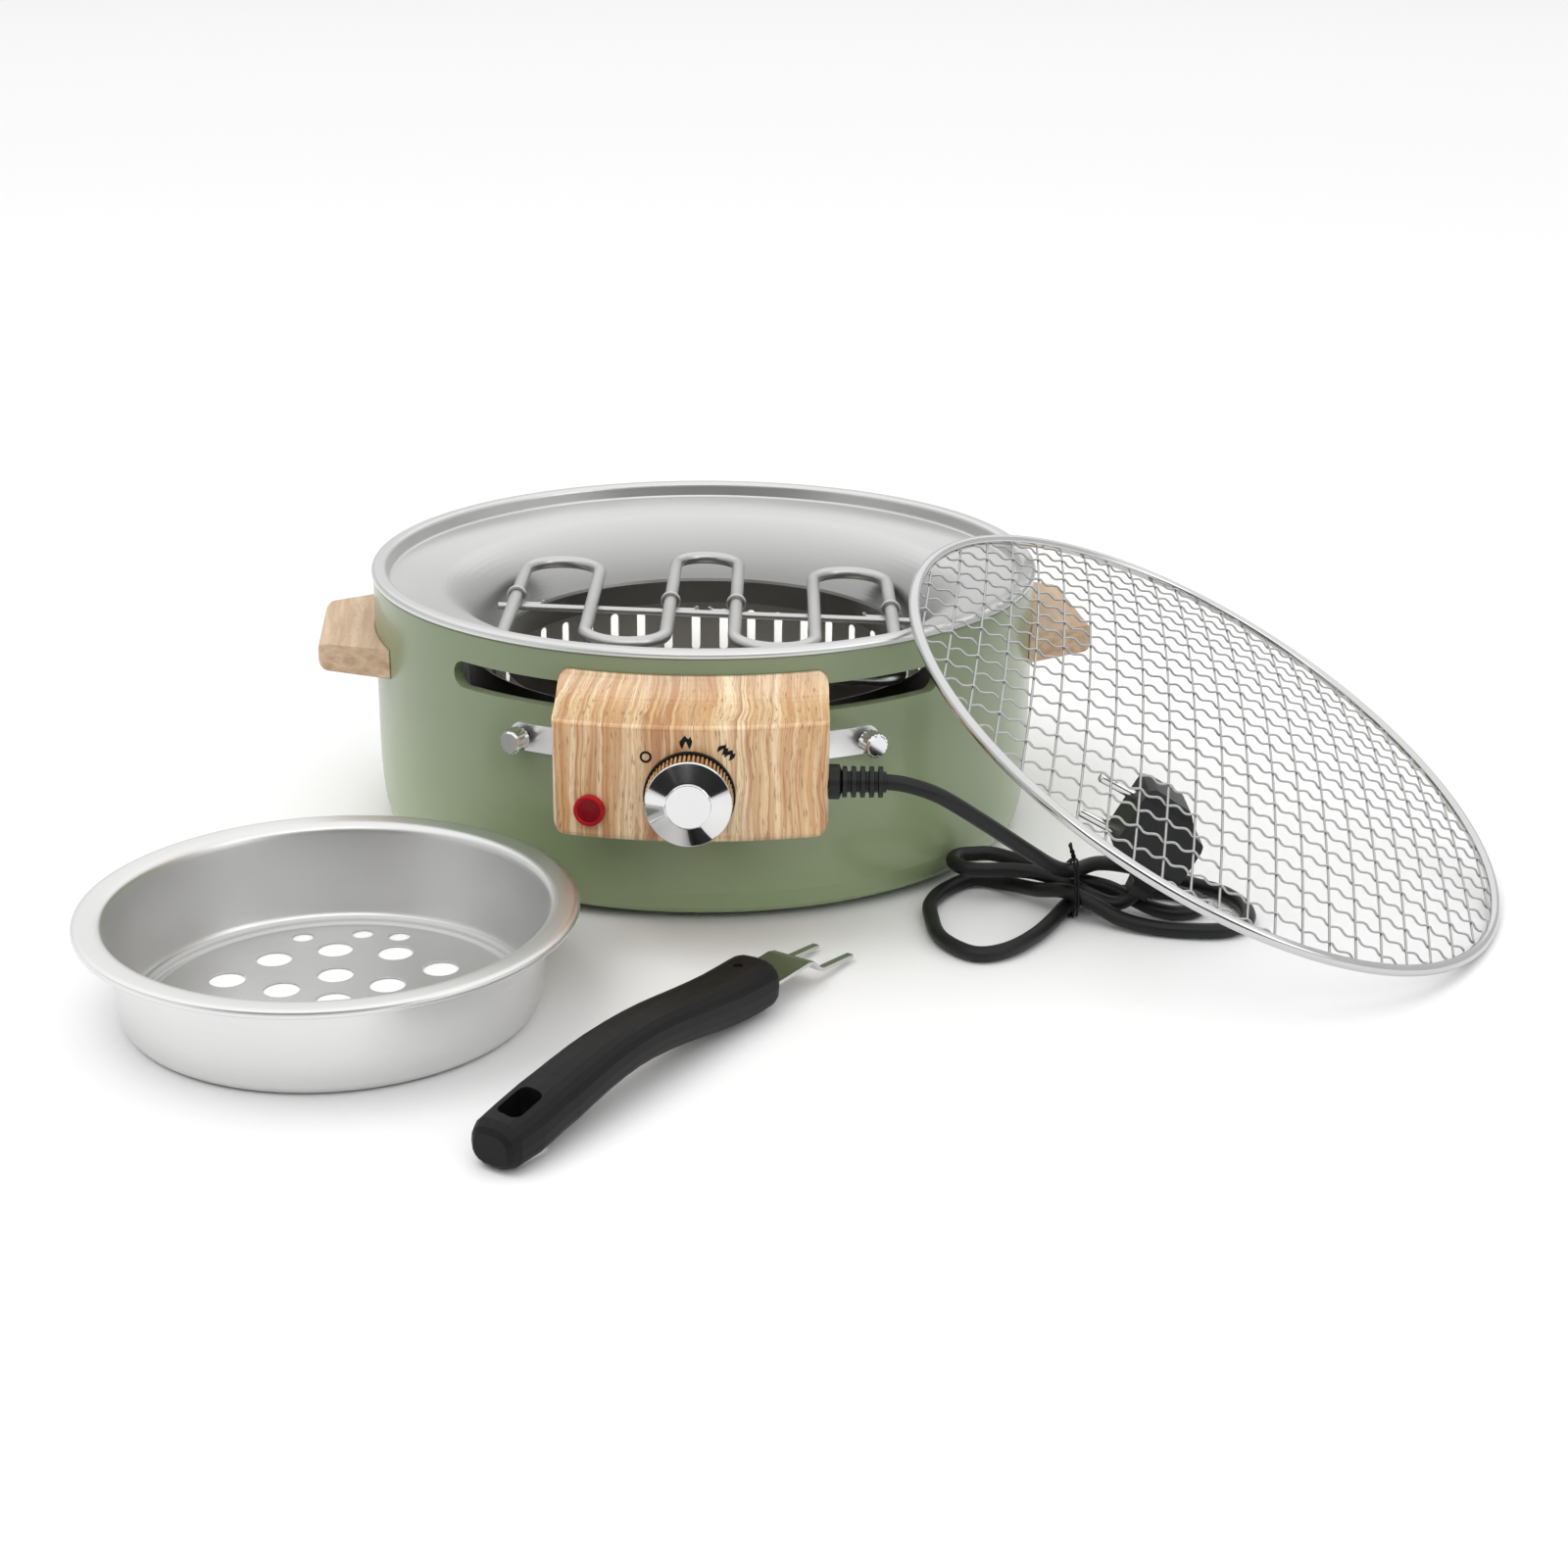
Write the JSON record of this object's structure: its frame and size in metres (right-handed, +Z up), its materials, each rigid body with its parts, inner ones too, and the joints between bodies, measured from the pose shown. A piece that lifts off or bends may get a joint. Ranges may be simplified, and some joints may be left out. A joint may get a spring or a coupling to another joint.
{
  "type": "electric barbecue grill",
  "caption": "Round tabletop electric barbecue: painted drum, bright pan, looped heating element, control box with knob, cord and plug, wooden handles, loose grate, charcoal bowl and lifter.",
  "frame": {"origin": "centre of the foot ring on the table, on the axis of the round body", "axes": "+Z up along the body axis, -Y towards the control box at the front, +X to the right as seen from the front"},
  "size_m": [0.6317, 0.5629, 0.1499],
  "materials": {
    "drum_paint": "satin",
    "bright_steel": "brushed",
    "dark_steel": "matte",
    "light_wood": "satin",
    "wood_print": "wood-print gloss",
    "element_steel": "satin",
    "screw_steel": "satin",
    "chrome_trim": "polished",
    "black_plastic": "fine grain",
    "black_steel": "satin",
    "pale_plastic": "matte",
    "red_lens": "translucent",
    "rubber_black": "matte",
    "bowl_steel": "satin",
    "grate_wire": "bright drawn wire"
  },
  "bodies": {
    "grill_body": {"outer_shell": "drum_paint", "base_plate": "dark_steel", "foot_ring": "rubber_black", "reflector_pan": "bright_steel", "slotted_liner": "dark_steel", "handle_left": "light_wood", "handle_right": "light_wood", "handle_screws": "screw_steel", "heating_element": "element_steel", "element_tie_rod": "element_steel", "element_clips": "element_steel", "element_bushings": "pale_plastic", "element_terminals": "screw_steel", "box_cover": "wood_print", "box_back": "dark_steel", "box_screws": "screw_steel", "mounting_strap": "bright_steel", "strap_rivets": "screw_steel", "strap_nuts": "screw_steel", "thermostat": "pale_plastic", "indicator_lens": "red_lens", "lamp_body": "pale_plastic", "strain_relief": "rubber_black", "cord": "rubber_black", "cord_tie": "black_plastic", "plug_body": "rubber_black", "plug_pins": "chrome_trim"},
    "knob": {"knob_shaft": "screw_steel", "knob_body": "wood_print", "knob_cap": "chrome_trim"},
    "collar_left": {"screw_collar_left": "black_steel"},
    "thumb_left": {"thumb_screw_left": "chrome_trim"},
    "collar_right": {"screw_collar_right": "black_steel"},
    "thumb_right": {"thumb_screw_right": "chrome_trim"},
    "bowl": {"charcoal_bowl": "bowl_steel"},
    "lifter": {"lifter_grip": "black_plastic", "lifter_end_cap": "black_plastic", "lifter_tongue": "bright_steel", "lifter_rivet": "screw_steel"},
    "grate": {"grate_ring": "grate_wire", "grate_wires_plain": "grate_wire", "grate_wires_crimped": "grate_wire"}
  },
  "joints": [
    {"name": "knob_turn", "type": "hinge", "parent": "grill_body", "child": "knob", "pos_m": [0, -0.20531, 0.0791], "axis": [0, 0.9971, -0.0767], "range_deg": [0, 88]},
    {"name": "left_screw_out", "type": "slide", "parent": "grill_body", "child": "collar_left", "axis": [-0.4664, -0.8846, 0], "range_m": [0, 0.0016]},
    {"name": "left_screw_turn", "type": "hinge", "parent": "collar_left", "child": "thumb_left", "pos_m": [-0.07663, -0.14534, 0.085], "axis": [-0.4664, -0.8846, 0], "range_deg": [0, 720]},
    {"name": "right_screw_out", "type": "slide", "parent": "grill_body", "child": "collar_right", "axis": [0.4664, -0.8846, 0], "range_m": [0, 0.0016]},
    {"name": "right_screw_turn", "type": "hinge", "parent": "collar_right", "child": "thumb_right", "pos_m": [0.07663, -0.14534, 0.085], "axis": [0.4664, -0.8846, 0], "range_deg": [0, 720]},
    {"name": "bowl_lift", "type": "slide", "parent": "grill_body", "child": "bowl", "axis": [-0.3611, -0.6019, 0.7122], "range_m": [0, 0.15]},
    {"name": "lifter_lift", "type": "slide", "parent": "grill_body", "child": "lifter", "axis": [-0.4008, -0.6012, 0.6913], "range_m": [0, 0.15]},
    {"name": "grate_lift", "type": "slide", "parent": "grill_body", "child": "grate", "axis": [0, 0, 1], "range_m": [0, 0.2]}
  ],
  "couplings": [
    {"joint": "left_screw_turn", "follows": "left_screw_out", "rad_per_m": 7853.9},
    {"joint": "right_screw_turn", "follows": "right_screw_out", "rad_per_m": 7853.9}
  ]
}
